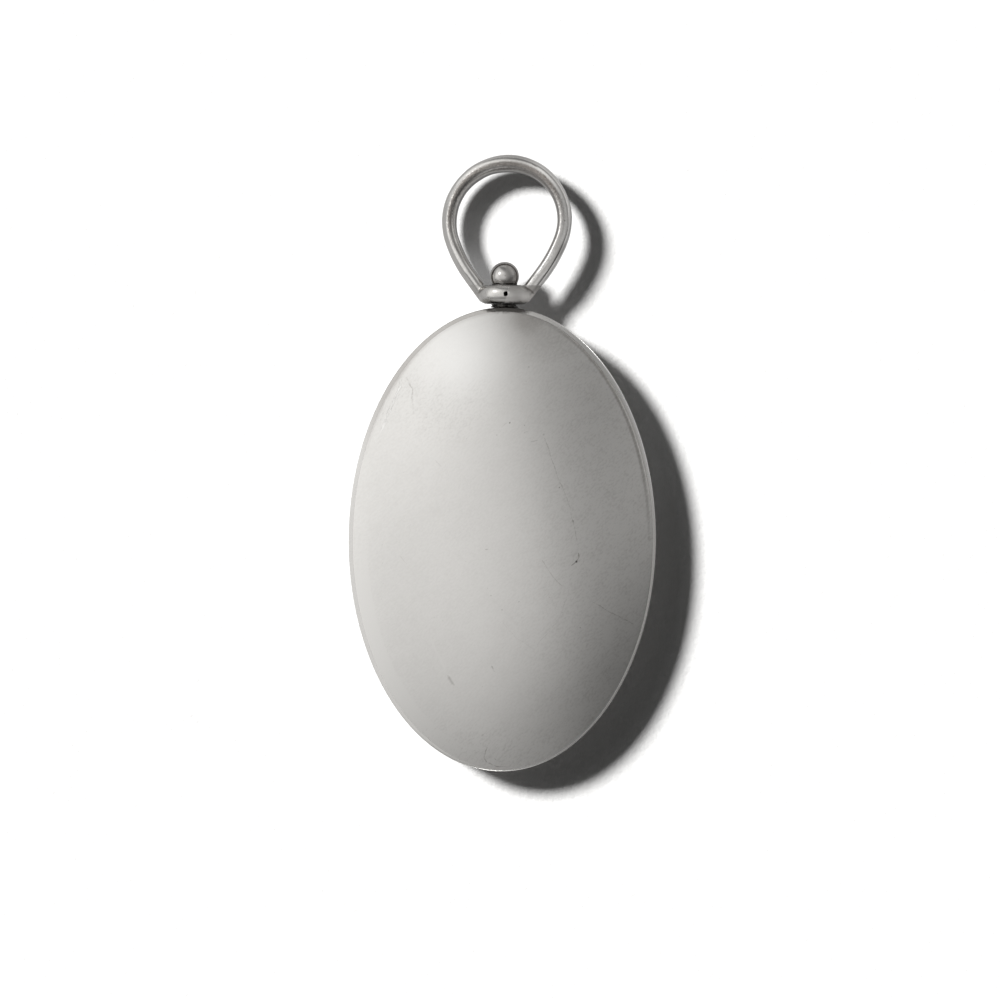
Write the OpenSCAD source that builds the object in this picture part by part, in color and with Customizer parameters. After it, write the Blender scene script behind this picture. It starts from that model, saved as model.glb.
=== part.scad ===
// Oval charm pendant, lying on its flat front with the domed back up.
// A hollow metal oval is closed by a cover that sits in a narrow rim, and a teardrop bail
// turns on a ball-headed pin at the oval's tip.
// X is the width, Y runs towards the bail, and Z = 0 is the surface that it lies on.

/* [Oval case] */
// Length of the oval
oval_l = 30; // [26:0.5:36]
// Width of the oval
oval_w = 19.85; // [17:0.05:24]
// Height of the rim above the front face
rim_h = 3.85; // [3.85:0.05:4.5]
// Thickness of the sheet metal
sheet = 0.6; // [0.4:0.05:0.65]
// Rounding between the front face and the side wall
front_round = 1.2; // [0.7:0.05:1.4]
// Rounding of the rim's outer edge
rim_round = 0.1; // [0.05:0.01:0.12]

/* [Back cover] */
// Rise of the domed cover above the rim
dome_rise = 1.95; // [1.2:0.05:2.6]
// Width of the rim that shows round the cover
ledge_w = 0.24; // [0.2:0.01:0.4]
// Fall of the rim towards its outer edge, in degrees
ledge_slope = 12; // [5:1:20]
// Depth of the seat that the cover drops into
seat_depth = 0.35; // [0.2:0.05:0.35]
// Gap between the cover and its seat
seat_gap = 0.03; // [0.02:0.01:0.05]

/* [Bail loop] */
// Width of the round-edged wire, seen from above
wire_d = 0.97; // [0.85:0.01:1.1]
// Height of the wire
wire_h = 1.6; // [1.05:0.05:1.7]
// Radius of the round top, to the middle of the wire
loop_r = 3.8; // [3.4:0.05:4.4]
// Distance from the oval's tip to the centre of the round top
loop_up = 5.7; // [5.5:0.05:6.2]
// How far the round top runs on past its widest point, in degrees
loop_wrap = 20; // [16:1:24]
// Radius of the slow bend in each leg
leg_r = 9; // [8:0.1:11]
// Lean of each leg where it reaches the collar, in degrees
leg_lean = 37; // [34:1:40]
// Lean of the whole loop towards the front, in degrees
loop_dip = 4.5; // [0:0.5:6]
// Turn of the bail on its pin as it rests, right side up, in degrees
bail_turn = 7; // [0:0.5:10]

/* [Bail collar] */
// Diameter of the collar
collar_d = 3.3; // [3:0.05:3.8]
// Length of the collar along the pin
collar_l = 1.17; // [1:0.01:1.3]
// Rounding of the collar's edges
collar_round = 0.42; // [0.2:0.01:0.45]
// Distance from the oval's tip to the collar
collar_up = 0.28; // [0.26:0.01:0.4]
// Clearance between the collar's bore and the pin, on the radius
bore_gap = 0.03; // [0.02:0.01:0.08]

/* [Swivel pin] */
// Height of the pin's axis above the front face
pin_h = 2.75; // [2.2:0.05:2.75]
// Diameter of the pin's shank
shank_d = 1.1; // [0.9:0.05:1.2]
// Diameter of the dark neck between the oval and the collar
neck_d = 1.5; // [1.35:0.05:1.55]
// Diameter of the ball head
ball_d = 1.87; // [1.75:0.01:2]
// Diameter of the straight flank under the ball
flank_d = 1.66; // [1.5:0.01:1.7]
// Play along the pin between the collar and the ball
ball_play = 0.06; // [0.03:0.01:0.1]
// Height of the ball's centre above its flat underside
ball_up = 0.54; // [0.45:0.01:0.6]
// Diameter of the riveted end inside the case
rivet_d = 1.4; // [1.3:0.05:1.45]
// Thickness of the riveted end
rivet_t = 0.4; // [0.3:0.05:0.5]

/* [Hidden] */
$fn = 96;
// Sides of the large circle that shapes the dome, of which only a short arc is used
dome_fn = 720;

// Clearance of a fixed joint between two pieces
fixed_gap = 0.02;
// Overshoot of a cut past the surface that it opens
cut = 1;
// Length of the sleeve that joins two stretches of wire
sleeve_l = 0.2;

half_l = oval_l / 2;
half_w = oval_w / 2;
// The loop's top leans down, so it reaches a little less far
bail_reach = collar_up + collar_l / 2 + (loop_up + loop_r + wire_d / 2 - collar_up - collar_l / 2)
  * cos(loop_dip) + (wire_h - wire_d) / 2 * sin(loop_dip);

// The part is centred on its whole length, so the oval sits a little below the middle
oval_y = -bail_reach / 2;
tip_y = oval_y + half_l;

// The cover's outline is the seat's outline, less the gap round it
cover_l = half_l - ledge_w - seat_gap;
cover_w = half_w - ledge_w - seat_gap;
cover_z = rim_h - seat_depth + seat_gap;
dome_r = (cover_l * cover_l + dome_rise * dome_rise) / (2 * dome_rise);
dome_z = rim_h + dome_rise - dome_r;

// Centre of the rim's edge rounding, placed so that the sloping ledge runs into it
rim_x = half_l - rim_round;
ledge_run = rim_x + rim_round * sin(ledge_slope) - (half_l - ledge_w);
rim_z = rim_h - ledge_run * tan(ledge_slope) - rim_round * cos(ledge_slope);
// The slope runs on inwards over the metal that the cover's seat takes away
rim_top = rim_h + (sheet - ledge_w) * tan(ledge_slope);

// Each leg leaves the round top at its tangent and straightens before the collar
bend_x = -(leg_r - loop_r) * cos(loop_wrap);
bend_y = loop_up + (leg_r - loop_r) * sin(loop_wrap);
leg_x = bend_x + leg_r * cos(leg_lean);
leg_y = bend_y - leg_r * sin(leg_lean);
leg_l = (leg_y - collar_up) / cos(leg_lean) + wire_d;

// Distances along the pin, from the oval's tip
ball_seat = collar_up + collar_l + ball_play;
ball_mid = ball_seat + ball_up;
collar_mid = collar_up + collar_l / 2;
// The riveted end lies flat behind the curved wall, clear of it at its rim
wall_bow = rivet_d * rivet_d * half_l / (8 * half_w * half_w) + 2 * fixed_gap;

// Stretches a round solid into the oval, to the given half length and half width.
// It is made in mirrored quarters, which keeps every curved face of the oval short.
module to_oval(along, across) {
  reach = along + cut;
  translate([0, oval_y, 0])
    for (left = [0, 1], below = [0, 1])
      mirror([left, 0, 0])
        mirror([0, below, 0])
          scale([across / along, 1, 1])
            intersection() {
              children();
              cube([reach, reach, 2 * rim_h + dome_rise]);
            }
}

// Section of the case from its centre line to the side wall
module case_section() {
  square([half_l - front_round, rim_z]);
  translate([0, front_round])
    square([half_l, rim_z - front_round]);
  translate([half_l - front_round, front_round])
    circle(front_round);
  translate([rim_x, rim_z])
    circle(rim_round);
  polygon([
    [0, rim_z],
    [rim_x, rim_z],
    [rim_x + rim_round * sin(ledge_slope), rim_z + rim_round * cos(ledge_slope)],
    [half_l - sheet, rim_top],
    [0, rim_top]
  ]);
}

// Hollow inside the case, up to the cover, with the sheet's thickness left round its corner
module case_hollow() {
  to_oval(half_l - sheet, half_w - sheet)
    rotate_extrude() {
      translate([0, sheet])
        square([half_l - front_round, rim_h]);
      translate([0, front_round])
        square([half_l - sheet, rim_h]);
      translate([half_l - front_round, front_round])
        circle(front_round - sheet);
    }
}

// Rebate that the cover drops into
module cover_seat() {
  to_oval(half_l - ledge_w, half_w - ledge_w)
    translate([0, 0, rim_h - seat_depth])
      cylinder(r = half_l - ledge_w, h = seat_depth + cut);
}

// Stands its children on the oval's tip, with their Z along the pin
module on_pin() {
  translate([0, tip_y, pin_h])
    rotate([-90, 0, 0])
      children();
}

// Front half of the case: flat face, side wall and rim in one pressing
module front_shell() {
  color([0.76, 0.75, 0.73])
    difference() {
      to_oval(half_l, half_w)
        rotate_extrude()
          case_section();
      case_hollow();
      cover_seat();
      on_pin()
        translate([0, 0, -sheet - cut])
          cylinder(d = shank_d + 2 * fixed_gap, h = sheet + 2 * cut);
    }
}

// Domed cover with the flat edge that rests in the seat
module back_shell() {
  color([0.8, 0.79, 0.77])
    to_oval(cover_l, cover_w)
      rotate_extrude()
        difference() {
          intersection() {
            translate([0, cover_z])
              square([cover_l, seat_depth + dome_rise]);
            translate([0, dome_z])
              circle(dome_r, $fn = dome_fn);
          }
          translate([0, dome_z])
            circle(dome_r - sheet, $fn = dome_fn);
        }
}

// Pin through the tip of the case: riveted inside, ball head outside
module swivel_pin() {
  color([0.6, 0.58, 0.56])
    on_pin() {
      translate([0, 0, -sheet - wall_bow - rivet_t])
        cylinder(d = rivet_d, h = rivet_t);
      translate([0, 0, -sheet - wall_bow - rivet_t / 2])
        cylinder(d = shank_d, h = sheet + wall_bow + rivet_t / 2 + ball_mid);
      translate([0, 0, fixed_gap])
        cylinder(d = neck_d, h = collar_up - 2 * fixed_gap);
      translate([0, 0, ball_seat])
        cylinder(d = flank_d, h = ball_up);
      difference() {
        translate([0, 0, ball_mid])
          sphere(d = ball_d);
        translate([-ball_d, -ball_d, ball_seat - ball_d])
          cube([2 * ball_d, 2 * ball_d, ball_d]);
      }
    }
}

// Section of the wire, with spare metal all round it
module wire_section(spare) {
  for (side = [-1, 1])
    translate([0, side * (wire_h - wire_d) / 2])
      circle(d = wire_d + spare);
  square([wire_d + spare, wire_h - wire_d], center = true);
}

// Stretch of the loop's wire round a bend
module wire_bend(centre, radius, from, sweep) {
  translate(centre)
    rotate([0, 0, from])
      rotate_extrude(angle = sweep)
        translate([radius, 0])
          wire_section(0);
}

// Places its children at a point of a leg, with their Z down along the wire
module on_leg(x, y, lean) {
  translate([x, y, 0])
    rotate([90, 0, -lean])
      children();
}

// Short sleeve a hair thicker than the wire, which joins two of its stretches
module wire_sleeve() {
  translate([0, 0, -sleeve_l / 2])
    linear_extrude(height = sleeve_l)
      wire_section(fixed_gap);
}

// One leg, from the round top down into the collar
module bail_leg() {
  on_leg(loop_r * cos(loop_wrap), loop_up - loop_r * sin(loop_wrap), loop_wrap)
    wire_sleeve();
  wire_bend([bend_x, bend_y, 0], leg_r, -leg_lean, leg_lean - loop_wrap);
  on_leg(leg_x, leg_y, leg_lean) {
    wire_sleeve();
    linear_extrude(height = leg_l)
      wire_section(0);
  }
}

// Section of the collar from the pin's axis outwards
module collar_section() {
  square([collar_d / 2 - collar_round, collar_l]);
  translate([0, collar_round])
    square([collar_d / 2, collar_l - 2 * collar_round]);
  for (end = [collar_round, collar_l - collar_round])
    translate([collar_d / 2 - collar_round, end])
      circle(collar_round);
}

// Teardrop loop soldered to the collar that turns on the pin
module bail() {
  color([0.72, 0.71, 0.69])
    translate([0, tip_y, pin_h])
      difference() {
        union() {
          translate([0, collar_mid, 0])
            rotate([-loop_dip, -bail_turn, 0])
              translate([0, -collar_mid, 0]) {
                wire_bend([0, loop_up, 0], loop_r, -loop_wrap, 180 + 2 * loop_wrap);
                bail_leg();
                mirror([1, 0, 0])
                  bail_leg();
              }
          translate([0, collar_up, 0])
            rotate([-90, 0, 0])
              rotate_extrude()
                collar_section();
        }
        translate([0, collar_up - cut, 0])
          rotate([-90, 0, 0])
            cylinder(d = shank_d + 2 * bore_gap, h = collar_l + 2 * cut);
        translate([-collar_d, collar_up - collar_d, -collar_d])
          cube([2 * collar_d, collar_d, 2 * collar_d]);
      }
}

front_shell();
back_shell();
swivel_pin();
bail();
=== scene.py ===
"""Oval charm pendant in worn white gold, lying on its flat front with the domed back up."""

import math

import bmesh
import bpy
from mathutils import Matrix, Vector, noise


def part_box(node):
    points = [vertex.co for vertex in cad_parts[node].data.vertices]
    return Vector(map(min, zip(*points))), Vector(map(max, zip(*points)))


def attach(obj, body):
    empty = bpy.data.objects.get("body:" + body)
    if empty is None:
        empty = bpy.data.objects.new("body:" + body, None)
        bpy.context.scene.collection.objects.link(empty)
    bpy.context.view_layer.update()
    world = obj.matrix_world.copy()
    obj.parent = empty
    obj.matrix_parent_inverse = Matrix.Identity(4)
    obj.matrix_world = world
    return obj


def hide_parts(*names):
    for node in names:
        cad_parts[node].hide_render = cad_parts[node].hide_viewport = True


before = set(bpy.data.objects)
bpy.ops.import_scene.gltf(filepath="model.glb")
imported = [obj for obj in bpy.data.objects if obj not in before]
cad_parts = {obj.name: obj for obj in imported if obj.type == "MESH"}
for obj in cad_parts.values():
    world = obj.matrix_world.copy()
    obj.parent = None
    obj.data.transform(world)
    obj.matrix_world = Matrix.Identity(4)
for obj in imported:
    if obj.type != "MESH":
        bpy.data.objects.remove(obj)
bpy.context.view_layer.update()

MM = 0.001
OVAL_STEPS = 384
TURNED_STEPS = 96
WIRE_STEPS = 56


# Sizes in mm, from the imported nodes


def node_box(node):
    low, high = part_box(node)
    return low / MM, high / MM


case_low, case_high = node_box("front_shell")
cover_low, cover_high = node_box("back_shell")
pin_low, pin_high = node_box("swivel_pin")
bail_low, bail_high = node_box("bail")

half_w = (case_high.x - case_low.x) / 2
half_l = (case_high.y - case_low.y) / 2
oval_y = (case_high.y + case_low.y) / 2
tip_y = case_high.y
rim_z = case_high.z
dome_top = cover_high.z
pin_z = (pin_low.z + pin_high.z) / 2
# Thickness of the sheet metal
SHEET = 0.6
# The ledge that the cover rests on, just below its edge
seat_z = cover_low.z - 0.03
cover_w = cover_high.x
cover_l = (cover_high.y - cover_low.y) / 2


def between(knots, place):
    """Smooth value at a place along a row of (place, value) knots."""
    for (p0, v0), (p1, v1) in zip(knots, knots[1:]):
        if place <= p1:
            share = max(0.0, (place - p0) / (p1 - p0))
            return v0 + (v1 - v0) * (share * share * (3 - 2 * share))
    return knots[-1][1]


def placed(name, data):
    """A new object in the scene."""
    made = bpy.data.objects.new(name, data)
    bpy.context.scene.collection.objects.link(made)
    return made


# Rings of points drawn into shells


def first_ring(bm, steps):
    made = bmesh.ops.create_circle(bm, cap_ends=False, segments=steps, radius=1)["verts"]
    return sorted(made, key=lambda v: math.atan2(v.co.y, v.co.x) % math.tau)


def next_ring(bm, ring):
    """Extrudes a ring of edges and gives the new ring in the same order."""
    edges = [bm.edges.get((a, b)) for a, b in zip(ring, ring[1:] + ring[:1])]
    made = bmesh.ops.extrude_edge_only(bm, edges=edges)["geom"]
    new = {v for v in made if isinstance(v, bmesh.types.BMVert)}
    return [next(e.other_vert(v) for e in v.link_edges if e.other_vert(v) in new) for v in ring]


def draw_rings(bm, steps, places, ring=None):
    """Draws a ring through each place. A place gives the point for a share of the way round."""
    for place in places:
        ring = first_ring(bm, steps) if ring is None else next_ring(bm, ring)
        for i, v in enumerate(ring):
            v.co = place(i / steps)
    return ring


def open_ring(bm):
    return [v for v in bm.verts if v.is_boundary]


def cap(bm, ring):
    bmesh.ops.contextual_create(bm, geom=ring)


def draw_closed(bm, steps, places):
    """Draws rings and closes both ends with a flat face."""
    cap(bm, draw_rings(bm, steps, places))
    cap(bm, open_ring(bm))


def to_pole(bm, ring):
    middle = sum((v.co for v in ring), Vector()) / len(ring)
    bmesh.ops.pointmerge(bm, verts=ring, merge_co=middle)


def mesh_of(bm, name):
    bmesh.ops.recalc_face_normals(bm, faces=bm.faces)
    mesh = bpy.data.meshes.new(name)
    bm.to_mesh(mesh)
    bm.free()
    return mesh


def finish_piece(bm, name, material, body, node, sharp_deg=40):
    """Turns a bmesh in mm into a piece of the pendant that stands for its CAD node."""
    bmesh.ops.scale(bm, vec=(MM, MM, MM), verts=bm.verts)
    mesh = mesh_of(bm, name)
    mesh.shade_smooth()
    mesh.set_sharp_from_angle(angle=math.radians(sharp_deg))
    mesh.materials.append(material)
    piece = placed(name, mesh)
    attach(piece, body)
    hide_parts(node)
    return piece


# Wiring of the node trees


class Wiring:
    """Adds the nodes of one tree and joins them. Any value may be a number or another node's output."""

    def __init__(self, tree):
        self.tree = tree

    def put(self, socket, value):
        if isinstance(value, bpy.types.NodeSocket):
            self.tree.links.new(value, socket)
        elif value is not None:
            socket.default_value = value

    def node(self, kind, values=(), out=0, **settings):
        made = self.tree.nodes.new(kind)
        for key, value in settings.items():
            setattr(made, key, value)
        for key, value in dict(values).items():
            self.put(made.inputs[key], value)
        return made.outputs[out] if len(made.outputs) else made

    def math(self, operation, *values, clamp=False):
        return self.node("ShaderNodeMath", enumerate(values), operation=operation, use_clamp=clamp)

    def times(self, first, *others):
        """Product of two or more values."""
        for other in others:
            first = self.math("MULTIPLY", first, other)
        return first

    def rest(self, share):
        """What a share leaves of 1."""
        return self.math("SUBTRACT", 1.0, share)

    def linear(self, value, factor, start, clamp=False):
        """A value times a factor, added to a start."""
        return self.math("MULTIPLY_ADD", value, factor, start, clamp=clamp)

    def total(self, start, rows):
        """A value with others added to it in turn, each row a mask and its weight."""
        for mask, weight in rows:
            start = self.linear(mask, weight, start)
        return start

    def vector(self, operation, *values, out=0):
        return self.node("ShaderNodeVectorMath", enumerate(values), out, operation=operation)

    def turned(self, position, angle):
        return self.node("ShaderNodeVectorRotate", {"Vector": position, "Angle": angle},
                         rotation_type="Z_AXIS")

    def offset(self, position, centre, stretch=(1, 1, 0)):
        """Way from a point, as seen from above unless another stretch is given."""
        return self.vector("MULTIPLY", self.vector("SUBTRACT", position, centre), stretch)

    def length(self, way):
        return self.vector("LENGTH", way, out="Value")

    def x_and_y(self, position):
        made = self.tree.nodes.new("ShaderNodeSeparateXYZ")
        self.put(made.inputs[0], position)
        return made.outputs[0], made.outputs[1]

    def fade(self, value, start, end, low=0.0, high=1.0):
        """Smooth change from low at start to high at end, which may be the smaller value."""
        if isinstance(start, (int, float)) and isinstance(end, (int, float)) and start > end:
            start, end, low, high = end, start, high, low
        return self.node("ShaderNodeMapRange", {0: value, 1: start, 2: end, 3: low, 4: high},
                         interpolation_type="SMOOTHSTEP")

    def near(self, value, middle, full, none, high=1.0):
        """High where a value is no further than full from its middle, and 0 where it is beyond none."""
        gap = self.math("ABSOLUTE", self.math("SUBTRACT", value, middle))
        return self.fade(gap, full, none, high, 0.0)

    def spot(self, position, centre, full, none, high=1.0, low=0.0):
        """High where a place is no further than full from the centre, and low where it is beyond none."""
        return self.fade(self.vector("DISTANCE", position, centre, out="Value"), full, none, high, low)

    def blend(self, share, one, two):
        """Mix of two colours, each another node's output or plain red, green and blue."""
        one, two = ((*c, 1) if isinstance(c, tuple) else c for c in (one, two))
        return self.node("ShaderNodeMix", {0: share, 6: one, 7: two}, 2, data_type="RGBA")

    def coats(self, base, rows):
        """Colours laid over a base in turn, each row a mask, the strength of the coat and its colour."""
        for mask, strength, rgb in rows:
            base = self.blend(self.math("MULTIPLY", mask, strength), base, rgb)
        return base

    def noise(self, position, scale, detail=2.0, rough=0.5, out=0):
        return self.node("ShaderNodeTexNoise",
                         {"Vector": position, "Scale": scale, "Detail": detail, "Roughness": rough}, out)

    def group(self, effect, **values):
        """Places a shared effect and gives its output, or all of them where it has more than one."""
        made = self.tree.nodes.new("ShaderNodeGroup")
        made.node_tree = effect
        for key, value in values.items():
            self.put(made.inputs[key], value)
        return made.outputs[0] if len(made.outputs) == 1 else tuple(made.outputs)


def effect_group(name, inputs, outputs):
    """A shader node group with named sockets: its wiring, its inputs and the way to set its outputs."""
    tree = bpy.data.node_groups.new(name, "ShaderNodeTree")
    for way, sockets in (("INPUT", inputs), ("OUTPUT", outputs)):
        for key, kind in sockets.items():
            tree.interface.new_socket(name=key, in_out=way, socket_type=f"NodeSocket{kind}")
    given = tree.nodes.new("NodeGroupInput").outputs
    result = tree.nodes.new("NodeGroupOutput").inputs
    return Wiring(tree), given, result


def make_scratch():
    """One scratch: a thin mark from one point to another that tapers at its ends. Lengths in mm."""
    w, given, result = effect_group(
        "scratch", {"Position": "Vector", "From": "Vector", "To": "Vector", "Width": "Float"},
        {"Mark": "Float"})
    along = w.vector("SUBTRACT", given["To"], given["From"])
    away = w.vector("SUBTRACT", given["Position"], given["From"])
    share = w.math("DIVIDE", w.vector("DOT_PRODUCT", away, along, out="Value"),
                   w.vector("DOT_PRODUCT", along, along, out="Value"))
    share = w.math("MINIMUM", w.math("MAXIMUM", share, 0.0), 1.0)
    foot = w.node("ShaderNodeVectorMath", {0: along, "Scale": share}, operation="SCALE")
    gap = w.length(w.vector("SUBTRACT", away, foot))
    taper = w.math("POWER", w.math("SINE", w.times(share, math.pi)), 0.5)
    width = w.times(given["Width"], w.linear(taper, 0.75, 0.25))
    w.put(result["Mark"], w.rest(w.fade(gap, 0.0, width)))
    return w.tree


def make_hairlines():
    """A field of fine straight polishing lines that run one way, broken up along their length."""
    w, given, result = effect_group(
        "hairlines", {"Position": "Vector", "Turn": "Float", "Spacing": "Float", "Share": "Float"},
        {"Lines": "Float"})
    turned = w.turned(given["Position"], given["Turn"])
    bent = w.vector("MULTIPLY_ADD", w.noise(turned, 0.35, 1.0, out="Color"), (0.0, 0.7, 0.0), turned)
    thin = w.vector("DIVIDE", w.vector("MULTIPLY", bent, (0.045, 1.0, 0.0)), given["Spacing"])
    lines = w.noise(thin, 1.0, 3.0, 0.65)
    w.put(result["Lines"], w.fade(lines, w.math("SUBTRACT", 0.78, given["Share"]), 0.86))
    return w.tree


def make_specks():
    """Sparse small dark specks, each in its own cell."""
    w, given, result = effect_group(
        "specks", {"Position": "Vector", "Spacing": "Float", "Radius": "Float", "Share": "Float"},
        {"Mask": "Float"})
    cells = w.tree.nodes.new("ShaderNodeTexVoronoi")
    cells.voronoi_dimensions = "2D"
    w.put(cells.inputs["Vector"], w.vector("DIVIDE", given["Position"], given["Spacing"]))
    w.put(cells.inputs["Scale"], 1.0)
    gap = w.times(cells.outputs["Distance"], given["Spacing"])
    lot = w.node("ShaderNodeSeparateColor", {0: cells.outputs["Color"]})
    near = w.rest(w.fade(gap, 0.0, given["Radius"]))
    w.put(result["Mask"], w.times(near, w.math("LESS_THAN", lot, given["Share"])))
    return w.tree


def make_mottle():
    """Soft cloudy variation round zero, as handling and old polish leave on metal."""
    w, given, result = effect_group("mottle", {"Position": "Vector", "Size": "Float"}, {"Change": "Float"})
    cloud = w.noise(w.vector("DIVIDE", given["Position"], given["Size"]), 1.0, 4.0, 0.6)
    w.put(result["Change"], w.math("SUBTRACT", cloud, 0.5))
    return w.tree


def make_tarnish_and_shade():
    """Dark deposit with painted shade, fading out from a point with a broken edge. Lengths in mm."""
    w, given, result = effect_group(
        "tarnish_and_shade", {"Position": "Vector", "Centre": "Vector", "Stretch": "Vector", "Inside": "Float",
                    "Outside": "Float"}, {"Mask": "Float"})
    ragged = w.times(w.math("SUBTRACT", w.noise(given["Position"], 2.2, 4.0, 0.65), 0.5), 0.7)
    away = w.offset(given["Position"], given["Centre"], given["Stretch"])
    gap = w.math("ADD", w.length(away), ragged)
    w.put(result["Mask"], w.rest(w.fade(gap, given["Inside"], given["Outside"])))
    return w.tree


def make_inset():
    """Distance in from the oval's outline, in mm, and the angle round it in degrees from the right."""
    w, given, result = effect_group("inset", {"Position": "Vector"}, {"Inset": "Float", "Around": "Float"})
    to_round = (1 / half_w, 1 / half_l, 0)
    flat = w.vector("MULTIPLY", given["Position"], to_round)
    reach = w.length(flat)
    slope = w.length(w.vector("MULTIPLY", flat, to_round))
    w.put(result["Inset"], w.math("DIVIDE", w.times(w.rest(reach), reach), slope))
    x, y = w.x_and_y(flat)
    w.put(result["Around"], w.times(w.math("ARCTAN2", y, x), 180 / math.pi))
    return w.tree


inset = make_inset()
scratch = make_scratch()
hairlines = make_hairlines()
specks = make_specks()
mottle = make_mottle()
tarnish_and_shade = make_tarnish_and_shade()


def metal(name, base, rough):
    """A metal material: its wiring, its shader and a position in mm from the oval's centre."""
    made = bpy.data.materials.new(name)
    made.use_nodes = True
    made.node_tree.nodes.clear()
    w = Wiring(made.node_tree)
    shader = made.node_tree.nodes.new("ShaderNodeBsdfPrincipled")
    w.node("ShaderNodeOutputMaterial", {"Surface": shader.outputs[0]})
    shader.inputs["Metallic"].default_value = 1.0
    shader.inputs["Base Color"].default_value = (*base, 1)
    shader.inputs["Roughness"].default_value = rough
    coordinates = w.node("ShaderNodeTexCoord", out="Object")
    position = w.node("ShaderNodeMapping", {"Vector": coordinates, "Scale": (1 / MM,) * 3,
                                            "Location": (0, -oval_y, 0)})
    return made, w, shader, position


def clouds(w, position, size):
    """Soft variation round zero, in patches of about a size in mm."""
    return w.group(mottle, Position=position, Size=size)


def set_surface(w, shader, base, rough, relief, depth=0.02):
    """Joins a metal's colour, its roughness and its relief, which is a share of a depth in mm."""
    w.put(shader.inputs["Base Color"], base)
    w.put(shader.inputs["Roughness"], rough)
    bump = {"Height": w.times(relief, depth * MM), "Strength": 1.0, "Distance": 1.0}
    w.put(shader.inputs["Normal"], w.node("ShaderNodeBump", bump))


# The metal where it is clean and where it is dulled; darker, for marks and for painted shade; sooty, and dark
# with painted shade; rubbed bare, and painted bright as a highlight; and freshly nicked
PALE = (0.79, 0.775, 0.755)
GREY = (0.665, 0.65, 0.63)
DARK_METAL = (0.44, 0.42, 0.4)
SOOT_AND_SHADE = (0.045, 0.04, 0.036)
RUBBED_AND_HIGHLIT = (0.97, 0.96, 0.945)
FRESH_NICK = (1.0, 0.99, 0.975)
# The ball head, painted lighter on its left and darker on its right as lit and shaded sides, and the painted
# dark reflection in a ring round it
BALL_LIT_SIDE = (0.59, 0.575, 0.56)
BALL_SHADED_SIDE = (0.5, 0.485, 0.47)
BALL_REFLECTION_RING = (0.09, 0.072, 0.06)
# The wire of the bail, painted lighter on its left and darker on its right as lit and shaded sides; its
# rubbed edge painted with a highlight, its outer edge painted light and its inner side painted shade; its
# knocks; and painted shade with tarnish inside the loop
WIRE_LIT_SIDE = (0.78, 0.765, 0.745)
WIRE_SHADED_SIDE = (0.6, 0.585, 0.57)
WIRE_RUBBED_HIGHLIT_EDGE = (0.95, 0.94, 0.92)
WIRE_PAINTED_LIT_EDGE = (0.94, 0.925, 0.91)
WIRE_PAINTED_SHADE_SIDE = (0.3, 0.285, 0.27)
WIRE_KNOCK = (0.14, 0.12, 0.105)
WIRE_SHADE_AND_TARNISH = (0.12, 0.1, 0.086)
# The bail's collar, its right side painted darker at the upper end and lighter at the lower end, the painted
# highlight on its ends and the painted shade line where the legs meet it
COLLAR_GREY = (0.66, 0.645, 0.625)
PAINTED_SHADE_UPPER = (0.5, 0.485, 0.47)
PAINTED_LIGHT_LOWER = (0.86, 0.84, 0.82)
COLLAR_END_HIGHLIGHT = (0.9, 0.885, 0.865)
JOINT_SHADE_LINE = (0.1, 0.085, 0.075)

# Scratches and nicks on the back: points in mm from the oval's centre, then width and darkness, which
# is below 0 for a mark lighter than the metal
BACK_SCRATCHES = [
    ([(4.9, -0.8), (4.92, -1.12), (4.8, -1.36), (4.45, -1.64)], 0.075, 1.0),
    ([(2.54, -1.25), (2.88, -1.84), (3.4, -2.49), (3.84, -2.93)], 0.045, 0.5),
    ([(4.41, -2.45), (4.29, -3.43), (3.92, -4.5), (3.6, -5.26), (3.12, -5.8), (2.28, -6.76)], 0.035, 0.3),
    ([(2.12, -7.08), (1.53, -6.64), (0.98, -6.36), (0.34, -5.66), (0.08, -5.28)], 0.03, 0.22),
    ([(5.83, -3.94), (6.83, -4.53), (7.7, -4.97), (8.51, -5.35)], 0.05, 0.62),
    ([(2.65, 6.57), (2.95, 5.81), (3.1, 5.28), (3.4, 4.52), (3.62, 3.82), (3.92, 3.23)], 0.045, 0.65),
    ([(3.92, 3.23), (4.21, 2.48), (4.5, 1.41), (4.66, 0.65), (4.86, -0.32)], 0.04, 0.55),
    ([(1.74, 6.28), (2.24, 6.41)], 0.05, 0.5),
    ([(-0.15, 7.21), (0.25, 7.56)], 0.045, 0.4),
    ([(1.6, 7.01), (1.32, 6.88)], 0.04, 0.5),
    ([(-1.1, -0.67), (-0.9, -0.6)], 0.06, 0.7),
    ([(-0.62, -8.15), (-0.42, -8.52)], 0.075, 0.75),
    ([(-3.42, -8.8), (-3.03, -9.42)], 0.14, 0.55),
    ([(-6.31, 10.44), (-5.88, 9.67), (-5.93, 9.02)], 0.09, 0.6),
    ([(-5.88, 9.6), (-5.82, 8.1)], 0.05, 0.3),
    ([(-4.41, 5.12), (-3.96, 4.66)], 0.035, 0.3),
    ([(-6.63, -1.07), (-6.1, -1.68)], 0.04, 0.25),
    ([(-0.84, -13.39), (-1.0, -13.77), (-1.05, -14.15), (-0.78, -14.42), (-0.34, -14.63), (0.1, -14.7),
      (0.36, -14.67)], 0.06, 0.75),
    ([(-0.4, -14.14), (-0.29, -14.25)], 0.06, 0.6),
    ([(-4.6, -6.35), (-3.6, -8.45)], 0.1, -0.35),
    ([(6.73, 7.62), (6.62, 7.52)], 0.07, -2.0),
]
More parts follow.
